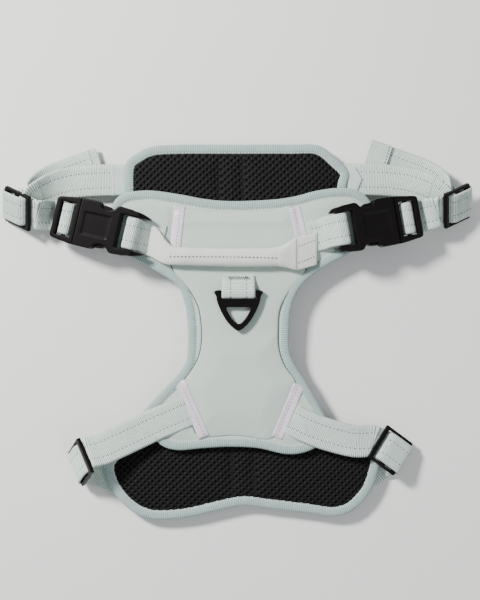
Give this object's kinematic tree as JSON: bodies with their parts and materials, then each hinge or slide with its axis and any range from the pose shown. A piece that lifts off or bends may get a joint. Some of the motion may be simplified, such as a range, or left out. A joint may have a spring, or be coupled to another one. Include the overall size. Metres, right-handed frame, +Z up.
{
  "type": "no pull dog harness",
  "caption": "Padded dog walking harness laid flat: hourglass back and front panels, side-release neck buckles, sliding web adjusters, grab handle and lead rings.",
  "frame": {"origin": "under the middle of the bounding box, on the surface it lies on", "axes": "+X to the right across the harness seen from above, +Y towards the neck end, +Z up from the surface"},
  "size_m": [0.3524, 0.2828, 0.0336],
  "materials": {
    "shell_cloth": "smooth sage scuba cloth",
    "foam": "soft white foam",
    "air_mesh": "black spacer mesh",
    "binding_tape": "woven edge tape",
    "reflective_tape": "silver lilac reflective tape",
    "grip_cloth": "padded woven cloth",
    "webbing": "ribbed nylon webbing",
    "black_plastic": "moulded black acetal, satin",
    "steel_ring": "black coated steel"
  },
  "bodies": {
    "harness": {"back_panel_shell": "shell_cloth", "back_panel_foam": "foam", "back_panel_lining": "air_mesh", "back_panel_binding": "binding_tape", "back_centre_panel": "shell_cloth", "reflective_strip_upper_left": "reflective_tape", "reflective_strip_upper_right": "reflective_tape", "reflective_strip_lower_left": "reflective_tape", "reflective_strip_lower_right": "reflective_tape", "back_ring_tab": "webbing", "handle_tab_left": "webbing", "handle_tab_right": "webbing", "shoulder_loop_left": "webbing", "shoulder_loop_right": "webbing", "front_panel_shell": "shell_cloth", "front_panel_foam": "foam", "front_panel_lining": "air_mesh", "front_panel_binding": "binding_tape", "front_centre_webbing": "webbing", "front_ring_tab": "webbing", "buckle_female_left": "black_plastic", "buckle_female_right": "black_plastic", "neck_strap_left": "webbing", "neck_strap_right": "webbing", "neck_strap_patch_left": "binding_tape", "neck_strap_patch_right": "binding_tape", "neck_strap_tail_left": "webbing", "neck_strap_tail_right": "webbing", "girth_strap_left": "webbing", "girth_strap_right": "webbing", "girth_return_web_left": "webbing", "girth_return_web_right": "webbing"},
    "back_ring_body": {"back_ring": "black_plastic"},
    "front_ring_body": {"front_ring": "steel_ring"},
    "handle": {"handle_grip": "grip_cloth", "handle_webbing": "webbing"},
    "buckle_half_left": {"buckle_male_left": "black_plastic", "neck_adjust_web_left": "webbing"},
    "buckle_half_right": {"buckle_male_right": "black_plastic", "neck_adjust_web_right": "webbing"},
    "arm_upper_left": {"buckle_arm_upper_left": "black_plastic"},
    "arm_lower_left": {"buckle_arm_lower_left": "black_plastic"},
    "arm_upper_right": {"buckle_arm_upper_right": "black_plastic"},
    "arm_lower_right": {"buckle_arm_lower_right": "black_plastic"},
    "neck_adjuster_left": {"neck_slider_left": "black_plastic", "neck_strap_fold_left": "webbing"},
    "neck_adjuster_right": {"neck_slider_right": "black_plastic", "neck_strap_fold_right": "webbing"},
    "girth_adjuster_left": {"girth_slider_left": "black_plastic", "girth_strap_fold_left": "webbing"},
    "girth_adjuster_right": {"girth_slider_right": "black_plastic", "girth_strap_fold_right": "webbing"}
  },
  "joints": [
    {"name": "back_ring_swing", "type": "hinge", "parent": "harness", "child": "back_ring_body", "pos_m": [0.001, 0.02964, 0.021], "axis": [-1, 0, 0], "range_deg": [0, 130]},
    {"name": "front_ring_swing", "type": "hinge", "parent": "harness", "child": "front_ring_body", "pos_m": [-0.0045, 0.09364, 0.0021], "axis": [1, 0, 0], "range_deg": [0, 110]},
    {"name": "handle_lift", "type": "hinge", "parent": "harness", "child": "handle", "pos_m": [-0.0005, 0.06764, 0.0194], "axis": [-1, 0, 0], "range_deg": [0, 85]},
    {"name": "buckle_release_left", "type": "slide", "parent": "harness", "child": "buckle_half_left", "axis": [-0.9592, 0.2232, -0.1736], "range_m": [0, 0.03]},
    {"name": "buckle_release_right", "type": "slide", "parent": "harness", "child": "buckle_half_right", "axis": [0.9701, 0.1693, -0.1736], "range_m": [0, 0.03]},
    {"name": "arm_press_upper_left", "type": "hinge", "parent": "buckle_half_left", "child": "arm_upper_left", "pos_m": [-0.1155, 0.0938, 0.01903], "axis": [0.1691, -0.0394, -0.9848], "range_deg": [0, 6], "stiffness_Nm_per_rad": 0.5},
    {"name": "arm_press_lower_left", "type": "hinge", "parent": "buckle_half_left", "child": "arm_lower_left", "pos_m": [-0.12072, 0.0714, 0.01903], "axis": [-0.1691, 0.0394, 0.9848], "range_deg": [0, 6], "stiffness_Nm_per_rad": 0.5},
    {"name": "arm_press_upper_right", "type": "hinge", "parent": "buckle_half_right", "child": "arm_upper_right", "pos_m": [0.11553, 0.09473, 0.02023], "axis": [0.1711, 0.0299, 0.9848], "range_deg": [0, 6], "stiffness_Nm_per_rad": 0.5},
    {"name": "arm_press_lower_right", "type": "hinge", "parent": "buckle_half_right", "child": "arm_lower_right", "pos_m": [0.11948, 0.07208, 0.02023], "axis": [-0.1711, -0.0299, -0.9848], "range_deg": [0, 6], "stiffness_Nm_per_rad": 0.5},
    {"name": "neck_adjust_left", "type": "slide", "parent": "buckle_half_left", "child": "neck_adjuster_left", "axis": [0.9747, -0.2236, 0], "range_m": [0, 0.008], "deforming": ["neck_adjust_web_left"]},
    {"name": "neck_adjust_right", "type": "slide", "parent": "buckle_half_right", "child": "neck_adjuster_right", "axis": [-0.985, -0.1728, 0], "range_m": [0, 0.008], "deforming": ["neck_adjust_web_right"]},
    {"name": "girth_adjust_left", "type": "slide", "parent": "harness", "child": "girth_adjuster_left", "axis": [0.9205, 0.3907, 0], "range_m": [0, 0.008], "deforming": ["girth_strap_left", "girth_return_web_left"]},
    {"name": "girth_adjust_right", "type": "slide", "parent": "harness", "child": "girth_adjuster_right", "axis": [-0.9632, 0.2689, 0], "range_m": [0, 0.006], "deforming": ["girth_strap_right", "girth_return_web_right"]}
  ],
  "couplings": [
    {"joint": "arm_press_lower_left", "follows": "arm_press_upper_left", "ratio": 1},
    {"joint": "arm_press_lower_right", "follows": "arm_press_upper_right", "ratio": 1}
  ]
}
